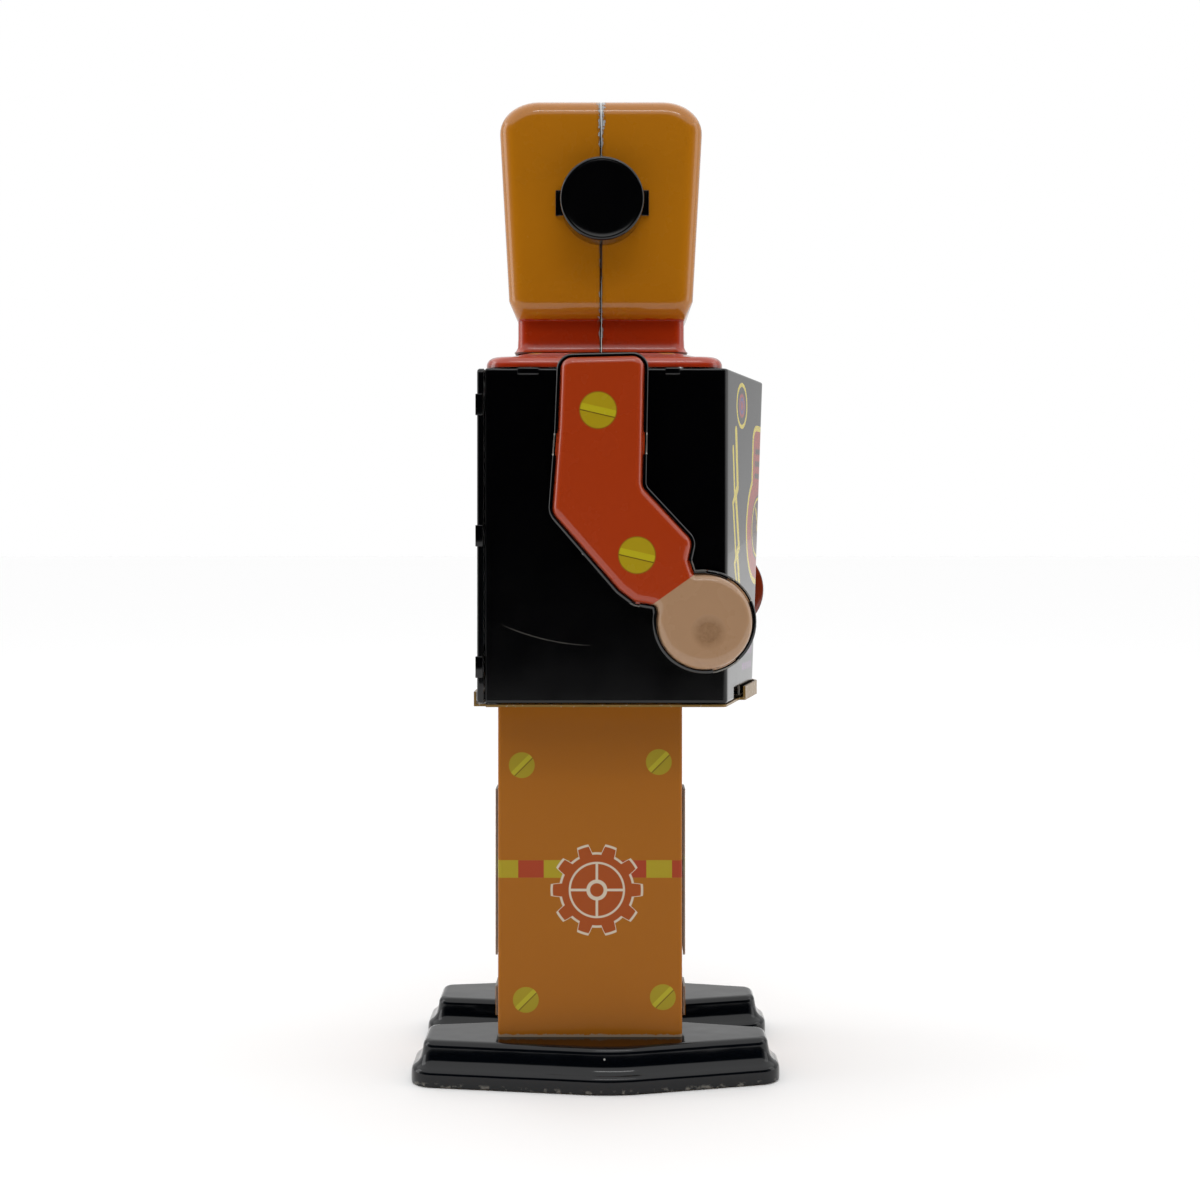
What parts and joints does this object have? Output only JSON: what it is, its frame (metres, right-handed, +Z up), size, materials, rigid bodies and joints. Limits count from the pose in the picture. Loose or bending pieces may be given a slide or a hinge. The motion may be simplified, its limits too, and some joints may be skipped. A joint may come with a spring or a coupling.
{
  "type": "tin wind-up robot",
  "caption": "Lithographed tin walking robot with a box head, ridged chest, swinging arms, long channel legs on pressed feet, and a geared spring motor wound by a side key.",
  "frame": {"origin": "on the ground, under the middle of the robot's overall box with its key and arms at rest; the robot's own mid-plane is 9.7 mm towards its right, at X = -0.0097 m", "axes": "+Z up, -Y the way the robot faces and walks, +X towards its own left hand"},
  "size_m": [0.0976, 0.083, 0.2169],
  "materials": {
    "head_orange": "glossy lithographed enamel",
    "leg_orange": "glossy lithographed enamel with a squared belt stripe and a small emblem",
    "arm_red": "glossy lithographed enamel, bare flesh tone at the hand",
    "collar_red": "glossy lithographed enamel",
    "black_enamel": "glossy black enamel, printed bands and roundels on the chest",
    "gold_lacquer": "worn gold lacquer over tinplate",
    "steel": "mill finish",
    "spring_steel": "blued",
    "brass": "stamped sheet",
    "nickel": "nickel plated"
  },
  "bodies": {
    "torso": {"torso_wrap": "black_enamel", "back_panel": "black_enamel", "shoulder_collar": "collar_red", "bottom_plate": "gold_lacquer", "head_front": "head_orange", "head_back": "head_orange", "right_ear_knob": "black_enamel", "left_ear_knob": "black_enamel", "right_ear_clip": "black_enamel", "left_ear_clip": "black_enamel", "motor_plate_left": "steel", "motor_plate_right": "steel", "motor_post_1": "steel", "motor_post_2": "steel", "motor_post_3": "steel", "motor_post_4": "steel", "left_hip_clip": "spring_steel", "right_hip_clip": "spring_steel", "mainspring": "spring_steel", "right_shoulder_rivet": "steel", "left_shoulder_rivet": "steel", "right_shoulder_washer": "brass", "left_shoulder_washer": "brass"},
    "right_arm": {"right_arm_shell": "arm_red", "right_arm_back": "black_enamel"},
    "left_arm": {"left_arm_shell": "arm_red", "left_arm_back": "black_enamel"},
    "right_leg": {"right_leg_outer": "leg_orange", "right_leg_inner": "leg_orange", "right_leg_hanger": "steel", "right_foot_shell": "black_enamel", "right_foot_sole": "gold_lacquer"},
    "left_leg": {"left_leg_outer": "leg_orange", "left_leg_inner": "leg_orange", "left_leg_hanger": "steel", "left_foot_shell": "black_enamel", "left_foot_sole": "gold_lacquer"},
    "winder": {"winding_arbor": "steel", "ratchet_wheel": "steel", "winding_key": "nickel"},
    "great_wheel": {"great_wheel": "brass", "ratchet_click": "steel"},
    "crank": {"crank_axle": "steel", "second_wheel": "brass"},
    "third_wheel": {"third_arbor": "steel", "third_wheel": "brass"},
    "escape_wheel": {"escape_arbor": "steel", "escape_wheel": "brass"},
    "verge": {"verge": "steel"}
  },
  "joints": [
    {"name": "right_arm_swing", "type": "hinge", "parent": "torso", "child": "right_arm", "pos_m": [-0.0457, 0.0002, 0.1468], "axis": [-1, 0, 0], "continuous": true},
    {"name": "left_arm_swing", "type": "hinge", "parent": "torso", "child": "left_arm", "pos_m": [0.0263, 0.0002, 0.1468], "axis": [-1, 0, 0], "range_deg": [-25.5, 285.5]},
    {"name": "right_leg_swing", "type": "hinge", "parent": "torso", "child": "right_leg", "pos_m": [-0.0223, 0.0022, 0.1], "axis": [-1, 0, 0], "range_deg": [-4, 4]},
    {"name": "left_leg_swing", "type": "hinge", "parent": "torso", "child": "left_leg", "pos_m": [0.0029, 0.0022, 0.1], "axis": [-1, 0, 0], "range_deg": [-4, 4]},
    {"name": "winder_turn", "type": "hinge", "parent": "torso", "child": "winder", "pos_m": [0.0203, 0.0122, 0.107], "axis": [1, 0, 0], "continuous": true},
    {"name": "great_wheel_turn", "type": "hinge", "parent": "torso", "child": "great_wheel", "pos_m": [-0.0101, 0.0122, 0.107], "axis": [1, 0, 0], "continuous": true},
    {"name": "crank_turn", "type": "hinge", "parent": "torso", "child": "crank", "pos_m": [-0.0097, 0.0022, 0.1145], "axis": [1, 0, 0], "continuous": true},
    {"name": "third_wheel_turn", "type": "hinge", "parent": "torso", "child": "third_wheel", "pos_m": [-0.0097, -0.00458, 0.12129], "axis": [1, 0, 0], "continuous": true},
    {"name": "escape_wheel_turn", "type": "hinge", "parent": "torso", "child": "escape_wheel", "pos_m": [-0.0097, -0.00898, 0.12891], "axis": [1, 0, 0], "continuous": true},
    {"name": "verge_rock", "type": "hinge", "parent": "torso", "child": "verge", "pos_m": [-0.0097, -0.00386, 0.13353], "axis": [1, 0, 0], "range_deg": [-6, 6]}
  ],
  "couplings": [
    {"joint": "great_wheel_turn", "follows": "escape_wheel_turn", "ratio": -0.011111},
    {"joint": "crank_turn", "follows": "escape_wheel_turn", "ratio": 0.044444},
    {"joint": "third_wheel_turn", "follows": "escape_wheel_turn", "ratio": -0.22222},
    {"joint": "left_leg_swing", "follows": "right_leg_swing", "ratio": -1}
  ]
}
